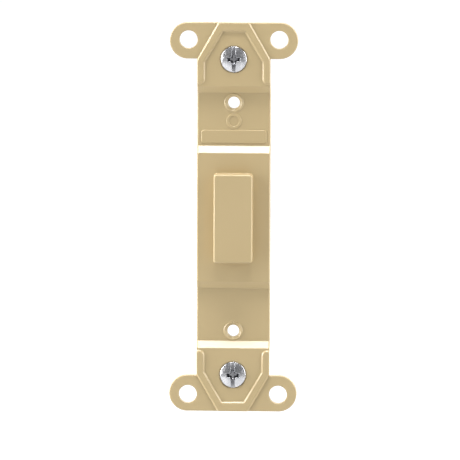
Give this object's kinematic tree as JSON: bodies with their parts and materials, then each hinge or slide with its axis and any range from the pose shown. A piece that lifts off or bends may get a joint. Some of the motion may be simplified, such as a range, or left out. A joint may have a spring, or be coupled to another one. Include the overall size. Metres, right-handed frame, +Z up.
{
  "type": "toggle opening blank insert",
  "caption": "Moulded mounting strap with a plain raised block that fills the toggle opening of a wall plate, with snap-off ears and captive mounting screws.",
  "frame": {"origin": "on the wall surface, which is the back face of the ears, midway between the two mounting screws", "axes": "-Y out of the wall towards the viewer, +X to the viewer's right, +Z up along the strap"},
  "size_m": [0.0336, 0.0237, 0.1028],
  "materials": {
    "ivory_plastic": "polished ivory moulding",
    "plated_steel": "bright zinc plating",
    "fibre": "pressed vulcanised fibre"
  },
  "bodies": {
    "strap": {"insert_strap": "ivory_plastic", "ear_top_left": "ivory_plastic", "ear_top_right": "ivory_plastic", "ear_bottom_left": "ivory_plastic", "ear_bottom_right": "ivory_plastic"},
    "top_retainer": {"top_retainer": "fibre"},
    "top_screw": {"top_screw": "plated_steel"},
    "bottom_retainer": {"bottom_retainer": "fibre"},
    "bottom_screw": {"bottom_screw": "plated_steel"}
  },
  "joints": [
    {"name": "top_screw_float", "type": "slide", "parent": "strap", "child": "top_retainer", "axis": [0, -1, 0], "range_m": [0, 0.0058]},
    {"name": "top_screw_turn", "type": "hinge", "parent": "top_retainer", "child": "top_screw", "pos_m": [0, 0, 0.04167], "axis": [0, 1, 0], "continuous": true},
    {"name": "bottom_screw_float", "type": "slide", "parent": "strap", "child": "bottom_retainer", "axis": [0, -1, 0], "range_m": [0, 0.0058]},
    {"name": "bottom_screw_turn", "type": "hinge", "parent": "bottom_retainer", "child": "bottom_screw", "pos_m": [0, 0, -0.04167], "axis": [0, 1, 0], "continuous": true}
  ]
}
